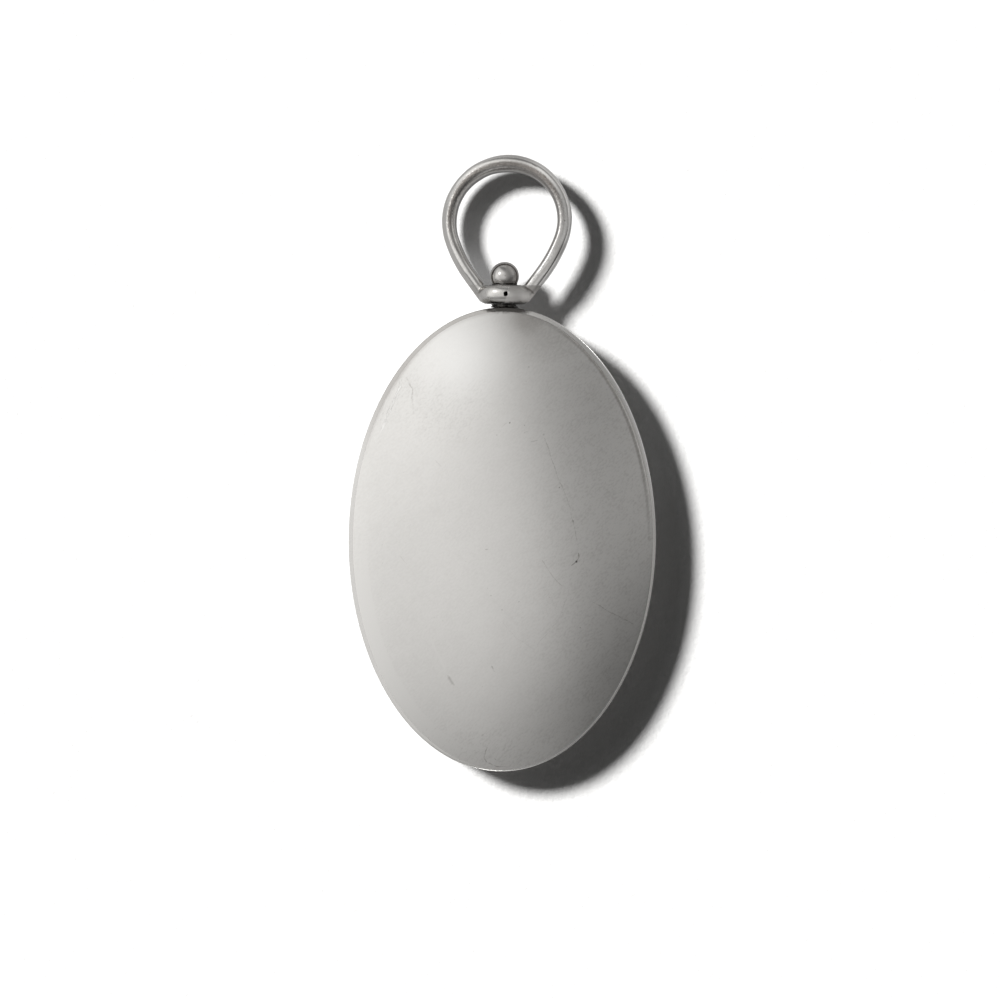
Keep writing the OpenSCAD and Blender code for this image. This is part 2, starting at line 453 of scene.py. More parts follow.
# Pits and soft stains on the back: place in mm, radius and darkness
BACK_PITS = [
    (0.41, 7.55, 0.085, 1.0), (1.36, 7.38, 0.06, 0.8), (2.62, 6.78, 0.12, 0.5), (-0.43, 6.74, 0.06, 0.6),
    (3.65, 3.38, 0.07, 0.9), (4.53, 1.22, 0.1, 0.7), (1.6, 11.12, 0.07, 0.6), (-0.7, -3.57, 0.06, 0.8),
    (-0.91, -3.14, 0.05, 0.5), (1.1, -4.0, 0.06, 0.7), (3.05, -3.68, 0.06, 0.6), (0.0, -4.54, 0.07, 0.7),
    (5.08, -5.62, 0.075, 0.9), (-4.33, -5.05, 0.05, 0.4), (-1.16, -12.63, 0.12, 0.5),
    (5.6, 7.95, 0.75, 0.09), (-2.07, 8.94, 0.3, 0.14), (6.26, 4.62, 0.6, 0.06), (-4.45, 1.83, 0.7, 0.05),
    (2.62, 8.8, 0.8, 0.05), (4.6, -0.98, 0.16, 0.22), (4.79, -1.38, 0.13, 1.5),
]
# Angle round the oval, in degrees from the right, of the streaks painted as a highlight, the painted shade in
# the seam, the painted shade at the edge, the painted glint on the rim and the painted light band
STREAKS_AT = 141
SEAM_SHADE_AT = 36
EDGE_SHADE_AT = 121
GLINT_AT = 40
LIGHT_BAND_AT = -137


def cover_metal():
    made, w, shader, position = metal("satin_back_metal", PALE, 0.3)
    flat = w.vector("MULTIPLY", position, (1, 1, 0))
    # Scratches and pits wander a little, and the scratches are broken up along their length
    aside = w.vector("ADD", flat, (31.7, 12.3, 5.1))
    sway = [w.math("SUBTRACT", w.noise(place, 1.6, 3.0, 0.65), 0.5) for place in (flat, aside)]
    wander = w.node("ShaderNodeCombineXYZ", enumerate(sway))
    drawn = w.vector("MULTIPLY_ADD", wander, (0.2, 0.2, 0.0), flat)
    broken = w.fade(w.noise(flat, 3.5, 2.0, 0.6), 0.36, 0.56, 0.25, 1.0)
    marks = 0.0
    for points, width, depth in BACK_SCRATCHES:
        for start, end in zip(points, points[1:]):
            mark = w.group(scratch, Position=drawn, From=(*start, 0), To=(*end, 0), Width=width)
            marks = w.math("MAXIMUM" if depth > 0 else "ADD", marks, w.times(mark, depth))
    marks = w.times(marks, broken)
    pits = 0.0
    for x, y, radius, depth in BACK_PITS:
        pits = w.math("ADD", pits, w.times(w.spot(drawn, (x, y, 0), 0.0, radius), depth))
    lines = w.math("ADD", w.group(hairlines, Position=flat, Turn=0.9, Spacing=0.11, Share=0.03),
                   w.group(hairlines, Position=flat, Turn=-0.5, Spacing=0.13, Share=0.0))
    dots = w.group(specks, Position=flat, Spacing=1.3, Radius=0.05, Share=0.22)
    cloud = clouds(w, flat, 2.6)
    # Fine hammered grain that runs up to the right, stronger on the right, by the lower end and on a
    # patch at the upper left
    slant = w.turned(flat, -0.8)
    across, upward = w.x_and_y(position)
    rougher = w.math("MAXIMUM", w.fade(across, 0.0, 6.0, 0.25, 0.85),
                     w.fade(upward, -11.0, -13.5, 0.25, 0.85))
    rougher = w.math("MAXIMUM", rougher, w.spot(flat, (-4.0, 9.4, 0), 2.0, 4.0, 0.6, 0.25))
    grain = w.times(clouds(w, w.vector("MULTIPLY", slant, (0.55, 1, 0)), 0.13), rougher)
    coarse = w.times(clouds(w, w.vector("MULTIPLY", slant, (0.6, 1, 0)), 0.75), rougher)
    depth_in, around = w.group(inset, Position=position)
    # Streaky metal beside the rim at the upper left, a little raised and painted bright as a highlight
    streaks = w.noise(w.vector("MULTIPLY", w.turned(flat, -1.15), (0.7, 5.0, 0)), 1.0, 3.0, 0.7)
    worn = w.times(w.near(depth_in, 0.75, 0.15, 0.5), w.near(around, STREAKS_AT, 4, 14),
                   w.fade(streaks, 0.5, 0.62))
    # Puckered patch at the upper left, and painted shade along the seam at the upper right
    folds = w.noise(w.vector("MULTIPLY", w.turned(flat, -0.75), (0.3, 1.5, 0)), 1.0, 3.0, 0.6)
    patch = w.times(w.spot(flat, (-3.1, 10.4, 0), 1.0, 3.0), w.near(folds, 0.52, 0.0, 0.03))
    seam_shade = w.times(w.near(depth_in, 0.45, 0.02, 0.16), w.near(around, SEAM_SHADE_AT, 14, 44))
    # Tarnish and painted shade below the neck
    neck = w.group(tarnish_and_shade, Position=position, Centre=(0.25, half_l + 0.1, 0), Stretch=(0.36, 1.25, 0),
                   Inside=0.25, Outside=0.66)
    # Painted shade along the edge at the upper left, and a slightly brighter band of painted light at the
    # lower left
    painted_edge_shade = w.times(w.near(around, EDGE_SHADE_AT, 16, 44), w.fade(depth_in, 0.26, 0.52, 0.55, 0.0))
    painted_light_band = w.times(w.fade(depth_in, 1.28, 1.12), w.near(around, LIGHT_BAND_AT, 28, 42))
    dark = w.total(marks, [(pits, 0.9), (dots, 0.3), (painted_edge_shade, 1.0), (painted_light_band, -0.1), (seam_shade, 0.75),
                           (patch, 0.11), (cloud, 0.06), (grain, 1.5), (coarse, 0.7), (worn, -0.3)])
    # Painted grey shade about the tip: place, where it is full, where it ends and darkness
    for x, y, full, none, darkness in ((0.6, half_l, 0.6, 2.2, 0.2), (2.3, half_l - 1, 0.6, 3.4, 0.32),
                                       (1.6, half_l - 0.7, 0.5, 1.5, 0.28)):
        dark = w.total(dark, [(w.spot(flat, (x, y, 0), full, none), darkness)])
    base = w.blend(w.math("ADD", dark, 0.05, clamp=True), PALE, DARK_METAL)
    base = w.blend(w.times(worn, 0.6), base, RUBBED_AND_HIGHLIT)
    # Painted highlight on a patch at the upper left
    base = w.blend(w.spot(flat, (-2.8, 12.0, 0), 0.2, 4.6, 0.75), base, RUBBED_AND_HIGHLIT)
    base = w.blend(w.fade(marks, -0.4, -1.4), base, FRESH_NICK)
    base = w.blend(w.fade(pits, 0.55, 1.0, 0.0, 0.8), base, SOOT_AND_SHADE)
    base = w.blend(w.times(neck, 0.8), base, SOOT_AND_SHADE)
    rough = w.math("MAXIMUM", w.linear(cloud, 0.06, 0.3), w.times(neck, 0.5))
    relief = w.total(w.times(lines, -0.05), [(grain, 0.03), (coarse, 0.06), (patch, -0.06), (worn, 0.5)])
    set_surface(w, shader, base, rough, relief)
    return made


def case_metal():
    made, w, shader, position = metal("polished_case_metal", PALE, 0.26)
    cloud = clouds(w, position, 1.6)
    fine = clouds(w, position, 0.25)
    lines = w.group(hairlines, Position=position, Turn=0.3, Spacing=0.12, Share=0.04)
    # Tarnish and painted shade by the neck
    neck = w.group(tarnish_and_shade, Position=position, Centre=(0.25, half_l + 0.15, 0), Stretch=(0.42, 1.2, 0),
                   Inside=0.5, Outside=0.95)
    depth_in, around = w.group(inset, Position=position)
    # Painted shade along the edge at the upper left
    painted_edge_shade = w.near(around, EDGE_SHADE_AT, 16, 44, 0.6)
    dark = w.math("ADD", w.linear(cloud, 0.2, 0.06), painted_edge_shade, clamp=True)
    # Painted glint along the rim's outer edge at the upper right
    painted_rim_glint = w.times(w.fade(depth_in, 0.2, 0.08), w.near(around, GLINT_AT, 20, 38))
    base = w.coats(w.blend(dark, PALE, DARK_METAL), [(painted_rim_glint, 0.8, RUBBED_AND_HIGHLIT), (neck, 0.92, SOOT_AND_SHADE)])
    relief = w.linear(lines, -0.04, w.times(fine, 0.12))
    set_surface(w, shader, base, w.linear(cloud, 0.1, 0.26), relief)
    return made


def pin_metal():
    made, w, shader, position = metal("ball_pin_metal", GREY, 0.13)
    across, height = w.x_and_y(position)
    cloud = clouds(w, position, 0.7)
    grit = clouds(w, position, 0.09)
    # Tarnish and painted shade on the neck and on the ball's foot by the collar
    below = w.fade(height, half_l + 1.66, half_l + 1.58)
    ball_y = half_l + 2.0
    reach = w.length(w.offset(position, (0, ball_y, 0)))
    # Painted dark reflection in a ring round the ball
    ring = w.times(w.fade(reach, 0.74, 0.8), w.fade(reach, 0.87, 0.82))
    pit = w.fade(w.length(w.offset(position, (0.05, ball_y + 0.06, 0))), 0.08, 0.02)
    # The ball's left is painted lighter and its right darker, as lit and shaded sides; the right is also
    # rougher
    side = w.fade(across, 0.03, 0.14)
    base = w.blend(side, BALL_LIT_SIDE, BALL_SHADED_SIDE)
    base = w.blend(w.linear(cloud, 0.4, 0.06, clamp=True), base, DARK_METAL)
    base = w.coats(base, [(ring, 0.9, BALL_REFLECTION_RING)])
    patchy = w.fade(clouds(w, position, 0.3), -0.12, 0.14, 1.0, 0.25)
    base = w.blend(w.math("MAXIMUM", w.times(below, patchy), w.times(pit, 0.4)), base, SOOT_AND_SHADE)
    rough = w.linear(side, 0.2, w.linear(below, 0.13, 0.19))
    set_surface(w, shader, base, rough, w.times(grit, w.linear(below, 1.4, 0.05)), 0.03)
    return made


# Small knocks on the wire: where each starts and ends, in mm from the oval's centre, and its width
WIRE_KNOCKS = [((1.72, 24.33), (2.02, 24.14), 0.07), ((2.42, 23.64), (2.6, 23.44), 0.1),
               ((2.86, 23.1), (2.97, 22.94), 0.07), ((1.2, 23.9), (1.3, 23.88), 0.06),
               ((-2.42, 23.6), (-2.36, 23.54), 0.06), ((3.84, 20.7), (3.86, 20.6), 0.06)]


def bail_metal():
    made, w, shader, position = metal("worn_bail_metal", GREY, 0.26)
    cloud = clouds(w, position, 1.2)
    grain = clouds(w, position, 0.13)
    lines = w.group(hairlines, Position=position, Turn=1.2, Spacing=0.1, Share=0.05)
    flat = w.vector("MULTIPLY", position, (1, 1, 0))
    across, height = w.x_and_y(position)
    aside = w.math("ABSOLUTE", across)
    above_tip = w.math("SUBTRACT", height, half_l)

    def rising(start, end):
        """Fade with the height above the oval's tip."""
        return w.fade(height, half_l + start, half_l + end)

    collar_y = half_l + 0.87
    collar = rising(1.5, 1.42)
    wire = w.rest(collar)
    # Painted shade with grainy tarnish on the inner side of the loop's top and left, which face away from the
    # light
    loop_y = half_l + COLLAR_MID + (LOOP_UP - COLLAR_MID) * math.cos(DIP)
    away = w.offset(position, (0.05, loop_y, 0))
    reach = w.length(away)
    upper = w.fade(w.vector("DOT_PRODUCT", away, (-0.3, 1.0, 0), out="Value"), -1.5, 1.6)
    ragged = w.linear(grain, 0.9, w.fade(reach, 3.62, 3.45, 1.0, 0.35))
    inside = w.math("MULTIPLY", w.times(w.fade(reach, 3.92, 3.72), upper), ragged, clamp=True)
    # Tarnish and painted shade by the neck, and between the legs above the collar
    low = w.group(tarnish_and_shade, Position=position, Centre=(0, half_l + 0.1, pin_z), Stretch=(0.25, 1.5, 0.25),
                  Inside=0.25, Outside=0.6)
    seat = w.times(rising(1.36, 1.42), w.fade(aside, 1.0, 0.85), rising(2.0, 1.6))
    # The collar's right side takes a painted tone, darker at its upper end and lighter at its lower, and is
    # rougher, up to a sharp slanting edge
    slanted = w.linear(w.math("SUBTRACT", height, collar_y), -0.28, across)
    side = w.times(w.fade(slanted, 0.12, 0.24), collar)
    painted_right_tone = w.blend(rising(1.25, 0.7), PAINTED_SHADE_UPPER, PAINTED_LIGHT_LOWER)
    # The wire is painted lighter on its left and darker on its right, as lit and shaded sides
    base = w.blend(w.fade(across, -1.6, 1.2), WIRE_LIT_SIDE, WIRE_SHADED_SIDE)
    base = w.blend(side, w.blend(collar, base, COLLAR_GREY), painted_right_tone)
    # Painted highlight on the collar's ends, and a dark line of painted shade where the legs meet it
    round_collar = w.length(w.offset(position, (0.1, collar_y, 0), (0.69, 1.9, 0)))
    ends = w.times(w.near(round_collar, 1.0, 0.02, 0.1), w.fade(aside, 0.9, 1.2), collar)
    foot = w.times(w.near(round_collar, 1.2, 0.03, 0.1), w.fade(aside, 1.1, 1.4), rising(0.85, 1.0))

    # The legs' lean as a cosine and a sine, and the steeper sine of their outer edge
    leg_cos, leg_sin, outer_sin = 0.799, 0.602, 0.702

    def beyond_leg(right, up):
        """Distance to one side of a line that leaves the oval's tip with the leg."""
        return w.linear(across, right, w.times(above_tip, -up))

    # The rubbed inner edge of the right leg, painted bright as a highlight, and the inner side of the left
    # leg, painted darker as shade
    leg = w.times(w.near(beyond_leg(leg_cos, leg_sin), 0.33, 0.1, 0.19), w.fade(across, 1.4, 1.7),
                  rising(4.0, 3.2), wire,
                  w.fade(w.noise(position, 5.0, 3.0, 0.7), 0.4, 0.52, 0.2, 1.0))
    inner = w.times(w.fade(beyond_leg(-leg_cos, leg_sin), 0.34, 0.22), rising(4.6, 3.6), wire,
                    w.fade(across, -0.9, -1.3))
    # Painted light on the outer edge on the right
    edge = w.math("ADD", w.times(w.fade(beyond_leg(leg_cos, outer_sin), 0.38, 0.55), rising(4.6, 3.8)),
                  w.times(w.fade(reach, 3.7, 3.95), rising(3.8, 4.6)))
    edge = w.times(edge, wire, w.fade(across, 1.0, 2.4))
    knocks = 0.0
    for start, end, width in WIRE_KNOCKS:
        knock = w.group(scratch, Position=flat, From=(*start, 0), To=(*end, 0), Width=width)
        knocks = w.math("MAXIMUM", knocks, knock)
    base = w.coats(base, [(ends, 0.4, COLLAR_END_HIGHLIGHT), (leg, 0.8, WIRE_RUBBED_HIGHLIT_EDGE), (inner, 0.6, WIRE_PAINTED_SHADE_SIDE),
                          (foot, 0.6, JOINT_SHADE_LINE), (edge, 0.7, WIRE_PAINTED_LIT_EDGE), (knocks, 0.7, WIRE_KNOCK)])
    base = w.blend(w.linear(cloud, 0.4, 0.08, clamp=True), base, DARK_METAL)
    # The collar's pit, with a painted highlight fleck at its upper right
    pit = w.length(w.offset(position, (COLLAR_PIT[0], half_l + COLLAR_PIT[1], 0), (1, 0.8, 0)))
    painted_fleck = w.spot(flat, (0.26, half_l + 0.94, 0), 0.04, 0.11, 0.7)
    base = w.coats(base, [(inside, 0.75, WIRE_SHADE_AND_TARNISH), (low, 0.85, SOOT_AND_SHADE), (seat, 0.6, SOOT_AND_SHADE),
                          (painted_fleck, collar, RUBBED_AND_HIGHLIT)])
    base = w.blend(w.fade(pit, 0.17, 0.1), base, SOOT_AND_SHADE)
    rough = w.linear(side, 0.3, w.linear(cloud, 0.14, w.linear(collar, 0.08, 0.19)))
    relief = w.linear(lines, -0.06, w.times(grain, w.linear(inside, 1.3, 0.35)))
    set_surface(w, shader, base, rough, relief)
    return made


# The case and its cover

# Width of the rim seen from above, the rounding of its outer edge and the seam inside it, in mm, by
# the angle round the oval from its right side
RIM_WIDTHS = [(0, 0.2), (30, 0.27), (52, 0.35), (75, 0.28), (105, 0.26), (180, 0.26), (240, 0.24),
              (270, 0.15), (300, 0.14), (340, 0.16), (360, 0.2)]
RIM_ROUNDS = [(0, 0.05), (40, 0.07), (58, 0.13), (76, 0.06), (230, 0.045), (266, 0.14), (292, 0.06),
              (360, 0.05)]
SEAMS = [(0, 0.008), (30, 0.02), (60, 0.022), (80, 0.006), (95, 0.003), (300, 0.003), (360, 0.008)]
LEDGE_SLOPE = math.radians(12)
CORNER_R = 1.2
# How far in from the outline the flat face has its two rings
FACE_INSETS = (6.0, 3.0)


def rim_width(share):
    wobble = noise.noise(Vector((math.cos(share * math.tau), math.sin(share * math.tau), 4)) * 2.3)
    return between(RIM_WIDTHS, share * 360) + 0.012 * wobble


def cover_inset(share):
    return rim_width(share) + between(SEAMS, share * 360)


def oval_place(inset, z):
    """Place of a ring of the oval: its distance in from the outline and its height."""
    def place(share):
        d = inset(share) if callable(inset) else inset
        h = z(share) if callable(z) else z
        a = share * math.tau
        return Vector(((half_w - d) * math.cos(a), oval_y + (half_l - d) * math.sin(a), h))
    return place


def ledge_height(share):
    """Height of the rim's inner edge, level with the edge of the cover."""
    a, d = share * math.tau, cover_inset(share)
    return dome_height((half_w - d) * math.cos(a), (half_l - d) * math.sin(a))


def rim_edge(lift):
    """Place of a ring of the rim's rounded outer edge, from its side at 0 up to the ledge at 1."""
    top = math.pi / 2 - LEDGE_SLOPE
    a = lift * top

    def place(share):
        r = between(RIM_ROUNDS, share * 360)
        run = rim_width(share) - r * (1 - math.cos(top))
        middle = ledge_height(share) - run * math.tan(LEDGE_SLOPE) - r * math.sin(top)
        return oval_place(r * (1 - math.cos(a)), middle + r * math.sin(a))(share)
    return place


def make_case():
    """Flat front, rounded corner, side wall, rounded rim and the seat that the cover rests in."""
    bm = bmesh.new()
    places = [oval_place(d, 0) for d in FACE_INSETS]
    for k in range(11):
        a = math.radians(9 * k)
        places.append(oval_place(CORNER_R * (1 - math.sin(a)), CORNER_R * (1 - math.cos(a))))
    places += [oval_place(0, z) for z in (1.8, 2.4, 3.0, 3.5)]
    places += [rim_edge(k / 8) for k in range(9)]
    places += [oval_place(rim_width, ledge_height), oval_place(rim_width, seat_z),
               oval_place(SHEET, seat_z), oval_place(SHEET, SHEET)]
    places += [oval_place(d, SHEET) for d in reversed(FACE_INSETS)]
    draw_closed(bm, OVAL_STEPS, places)
    return finish_piece(bm, "pressed_case", case_metal(), "pendant", "front_shell", 30)


dome_rise = dome_top - rim_z
dome_r = (cover_l ** 2 + dome_rise ** 2) / (2 * dome_rise)
dome_z = dome_top - dome_r


def dome_height(x, y, shrink=0.0):
    """Height of the dome above a point given from the oval's centre."""
    reach = math.hypot(x * cover_l / cover_w, y)
    return dome_z + math.sqrt((dome_r - shrink) ** 2 - reach ** 2)


def dome_place(scale, shrink=0.0, fall=0.0):
    """Place of a ring of the dome, at a share of its half sizes. Near the seam it may fall a little."""
    def place(share):
        a = share * math.tau
        edge = cover_inset(share)
        x = (half_w - edge) * scale * math.cos(a)
        y = (half_l - edge) * scale * math.sin(a)
        spot = Vector((x, y, 0))
        wave = 0.0035 * noise.noise(spot * 0.16) + 0.0012 * noise.noise(spot * 0.45)
        wave *= 0.0 if shrink else min(1.0, (1 - scale) * 10)
        drop = fall * max(0.0, between(SEAMS, share * 360) - 0.003) / 0.019
        return Vector((x, y + oval_y, dome_height(x, y, shrink) + wave - drop))
    return place


def make_cover():
    """Domed back cover: flat edge, softened corner, dome and hollow inner face."""
    bm = bmesh.new()
    under = cover_low.z
    places = [dome_place(k / 12, SHEET) for k in range(1, 12)]
    places += [oval_place(lambda share: cover_inset(share) + 0.55, under),
               oval_place(cover_inset, under), oval_place(cover_inset, rim_z - 0.12)]
    # The edge falls a little towards the seam
    places += [dome_place(scale, fall=fall) for scale, fall in (
        (1.0, 0.03), (0.9985, 0.016), (0.9965, 0.006), (0.9935, 0.001))]
    places += [dome_place(k / 70) for k in range(69, 0, -1)]
    to_pole(bm, draw_rings(bm, OVAL_STEPS, places))
    to_pole(bm, open_ring(bm))
    return finish_piece(bm, "domed_cover", cover_metal(), "pendant", "back_shell")


# The pin and the bail


def turned_place(radius, along, square=2.0, ragged=0.0):
    """Place of a ring about the pin's axis, at a distance along it from the oval's tip. It is round at
    a square of 2, and fuller at its corners above that."""
    def place(share):
        a = share * math.tau
        c, s = math.cos(a), math.sin(a)
        r = radius / (abs(c) ** square + abs(s) ** square) ** (1 / square)
        r += ragged * noise.noise(Vector((c * 2.2, s * 2.2, along * 7)))
        return Vector((r * c, tip_y + along, pin_z + r * s))
    return place


ball_r = (pin_high.x - pin_low.x) / 2
ball_mid = pin_high.y - tip_y - ball_r
collar_low = bail_low.y - tip_y
collar_r = (bail_high.z - bail_low.z) / 2
# The collar's length, the rounding of its ends, and its pit's place from the oval's tip
COLLAR_L = 1.17
COLLAR_ROUND = 0.53
COLLAR_MID = collar_low + COLLAR_L / 2
COLLAR_PIT = (0.08, 0.86)
# The head and the collar are hammered a little square
SQUARE = 2.15
# The pin's shank, and the bore in the collar that turns on it
SHANK_R = 0.55
BORE_R = 0.58
# Radius at which the ball runs straight down to its seat on the collar
FLANK_R = 0.83
ball_seat = collar_low + COLLAR_L + 0.06


def make_pin():
    """Riveted end, shank, neck and ball head, turned as one."""
    bm = bmesh.new()
    start = math.degrees(math.acos(FLANK_R / ball_r))
    low = pin_low.y - tip_y
    places = [turned_place(r, y) for r, y in (
        (0.5, low), (0.68, low), (0.7, low + 0.03), (0.7, low + 0.38), (0.68, low + 0.4),
        (SHANK_R, low + 0.4), (SHANK_R, 0.015))]
    places += [turned_place(r, y, ragged=0.12) for r, y in (
        (0.82, 0.02), (0.88, 0.04), (0.84, 0.08), (0.74, 0.12), (0.78, 0.16), (0.82, 0.19),
        (0.78, 0.215))]
    places += [turned_place(r, y) for r, y in ((SHANK_R, 0.22), (SHANK_R, ball_seat))]
    places += [turned_place(r, y, SQUARE) for r, y in (
        (FLANK_R - 0.03, ball_seat), (FLANK_R - 0.01, ball_seat + 0.01), (FLANK_R, ball_seat + 0.035))]
    for k in range(41):
        a = math.radians(-start + (89 + start) * k / 40)
        places.append(turned_place(ball_r * math.cos(a), ball_mid + ball_r * math.sin(a), SQUARE))
    to_pole(bm, draw_rings(bm, TURNED_STEPS, places))
    cap(bm, open_ring(bm))
    return finish_piece(bm, "ball_headed_pin", pin_metal(), "pendant", "swivel_pin")


# The loop's round top: its radius, its middle above the oval's tip and how far it wraps past its sides.
# Then the wider bend that leads into the straight legs, and their lean
LOOP_R = 3.8
LOOP_UP = 5.7
LOOP_WRAP = math.radians(20)
LEG_R = 9.0
LEG_LEAN = math.radians(37)
# The loop leans to the front and rests turned on its pin, right side up
DIP = math.radians(4.5)
TURN = math.radians(7)
# Half width and half height of the wire and its shift inwards, by the angle from the loop's top, left
# leg to right leg
WIRE_WIDTHS = [(-130, 0.455), (-100, 0.45), (-60, 0.46), (-30, 0.5), (0, 0.55), (30, 0.52),
               (60, 0.475), (100, 0.45), (130, 0.46)]
WIRE_HEIGHTS = [(-130, 0.79), (-50, 0.79), (0, 0.76), (50, 0.79), (130, 0.79)]
WIRE_SHIFTS = [(-130, 0.02), (-90, 0.035), (-40, 0.055), (0, 0.07), (40, 0.06), (90, 0.03),
               (130, 0.02)]
# Where the hammered flat along the wire faces, in degrees from outward over the top, and its depth
WIRE_FLATS = [(-130, 50), (-100, 52), (-60, 62), (-40, 78), (0, 104), (40, 88), (70, 78), (130, 78)]
FLAT_DEPTHS = [(-130, 0.87), (-90, 0.89), (-50, 0.94), (0, 0.95), (40, 0.9), (70, 0.83), (130, 0.83)]
# Height of the wire's round crown, over its straight sides
CROWN = 0.52
# How sharply the flats end, and how far the loop leans to the right as it rises
FLAT_SHARPNESS = 60
LOOP_SHEAR = 0.013
# Cell size of the remesh that melts the loop and the collar into one
SOLDER_CELL = 0.042


def heading(angle):
    return Vector((math.cos(angle), math.sin(angle)))


def bail_line():
    """Middle of the wire: each station's point, its outward direction and its angle from the top."""
    half = []
    for k in range(81):
        a = math.radians(90) - (math.radians(90) + LOOP_WRAP) * k / 80
        half.append((Vector((0, LOOP_UP)) + LOOP_R * heading(a), a))
    wider = LEG_R - LOOP_R
    bend = Vector((-wider * math.cos(LOOP_WRAP), LOOP_UP + wider * math.sin(LOOP_WRAP)))
    for k in range(1, 25):
        a = -LOOP_WRAP - (LEG_LEAN - LOOP_WRAP) * k / 24
        half.append((bend + LEG_R * heading(a), a))
    end = half[-1][0]
    down = Vector((-math.sin(LEG_LEAN), -math.cos(LEG_LEAN)))
    reach = (end.y - collar_low - 0.35) / math.cos(LEG_LEAN)
    for k in range(1, 17):
        half.append((end + down * reach * k / 16, -LEG_LEAN))
    line = []
    for p, a in reversed(half[1:]):
        line.append((Vector((-p.x, p.y)), Vector((-math.cos(a), math.sin(a))), math.degrees(a) - 90))
    for p, a in half:
        line.append((p, heading(a), 90 - math.degrees(a)))
    return line


def wire_place(point, out, turn):
    """Ring of the hand-forged wire: oval, with a soft flat along it, and worn inside the loop's top."""
    wide, high = between(WIRE_WIDTHS, turn), between(WIRE_HEIGHTS, turn)
    flats = [(math.radians(between(WIRE_FLATS, turn)), between(FLAT_DEPTHS, turn))]
    inward = between(WIRE_SHIFTS, turn)
    # The legs are filed lower where they run into the collar
    high = min(high, 0.5 + 0.2 * max(0.0, point.y - collar_low - 0.5))
    # The top is worn inside, and its lower half hangs deeper
    worn = max(0.0, 1 - abs(turn - 4) / 38)
    flats.append((math.radians(146), 1.02 - 0.1 * worn))
    deeper = 0.16 * max(0.0, 1 - abs(turn) / 60)
    lean = Matrix.Rotation(-TURN, 3, "Y") @ Matrix.Rotation(-DIP, 3, "X")

    def place(share):
        a = share * math.tau
        r = 1 + 0.012 * noise.noise(Vector((point.x * 1.1, point.y * 1.1, 2 * math.cos(a))))
        for facing, depth in flats:
            near = math.cos(a - facing)
            if near > 0.3:
                over = math.log(1 + math.exp((r * near - depth) * FLAT_SHARPNESS)) / FLAT_SHARPNESS
                r -= over / near
        x, y = point + out * (wide * r * math.cos(a) - inward)
        z = CROWN * r * math.sin(a) + (high - CROWN) * math.tanh(5 * math.sin(a))
        z *= 1 + (deeper if z < 0 else 0)
        spot = lean @ Vector((x + LOOP_SHEAR * (y - collar_low), y - COLLAR_MID, z))
        return Vector((spot.x, tip_y + COLLAR_MID + spot.y, pin_z + spot.z))
    return place


def solid(name, steps, places):
    """Mesh drawn with rings and closed flat at both ends."""
    bm = bmesh.new()
    draw_closed(bm, steps, places)
    return mesh_of(bm, name)


def changed(mesh, *changes):
    """Mesh with modifiers applied to it, each given by its kind and its settings."""
    blank = placed("blank", mesh)
    for kind, settings in changes:
        change = blank.modifiers.new(kind.lower(), kind)
        for key, value in settings.items():
            setattr(change, key, value)
    bpy.context.view_layer.update()
    made = bpy.data.meshes.new_from_object(blank.evaluated_get(bpy.context.evaluated_depsgraph_get()))
    bpy.data.objects.remove(blank)
    return made


def joined(one, two, operation):
    """One closed mesh from two."""
    tool = placed("tool", two)
    made = changed(one, ("BOOLEAN", {"operation": operation, "solver": "EXACT", "object": tool}))
    bpy.data.objects.remove(tool)
    return made


def make_bail():
    """Teardrop loop of forged wire, soldered to the collar that turns on the pin."""
    loop = solid("loop", WIRE_STEPS, [wire_place(*station) for station in bail_line()])
    places = []
    for end, way in ((COLLAR_ROUND - 0.025, -1), (COLLAR_L - COLLAR_ROUND + 0.02, 1)):
        for k in range(13):
            a = math.radians(90 * (k if way > 0 else 12 - k) / 12)
            places.append(turned_place(collar_r - COLLAR_ROUND + COLLAR_ROUND * math.cos(a),
                                       collar_low + end + way * COLLAR_ROUND * math.sin(a), SQUARE))
    whole = joined(solid("collar", TURNED_STEPS, places), loop, "UNION")
    # The solder leaves a soft corner where the legs meet the collar
    whole = changed(whole, ("REMESH", {"mode": "VOXEL", "voxel_size": SOLDER_CELL}),
                    ("SMOOTH", {"factor": 0.5, "iterations": 22}))
    bore = [turned_place(BORE_R, collar_low + y) for y in (-0.5, 0.6, COLLAR_L + 0.5)]
    whole = joined(whole, solid("bore", TURNED_STEPS, bore), "DIFFERENCE")
    # Small four-sided pit in the collar
    bm = bmesh.new()
    bmesh.ops.create_cone(bm, segments=4, radius1=0.05, radius2=0.3, depth=0.3)
    bmesh.ops.scale(bm, vec=(0.8, 1.0, 1), verts=bm.verts)
    bmesh.ops.rotate(bm, matrix=Matrix.Rotation(math.radians(-28), 3, "Z"), verts=bm.verts)
    pit_x, pit_y = COLLAR_PIT
    bmesh.ops.translate(bm, vec=(pit_x, tip_y + pit_y, pin_z + collar_r - 0.04), verts=bm.verts)
    whole = joined(whole, mesh_of(bm, "pit"), "DIFFERENCE")
    bm = bmesh.new()
    bm.from_mesh(whole)
    return finish_piece(bm, "wire_bail", bail_metal(), "bail", "bail")


case = make_case()
cover = make_cover()
pin = make_pin()
bail = make_bail()

# Floor, light and camera

# Colour of the paper, its colour and glow as the metal mirrors it, and the depth of its grain in metres
PAPER = (0.86, 0.86, 0.86)
MIRRORED_PAPER = (0.24, 0.24, 0.24)
MIRRORED_GLOW = 0.17
PAPER_GRAIN = 0.00006
# Place in the loop's shadow, in mm, that the collar and the ball throw light on
THROWN_AT = (-1.6, oval_y + 16.6)


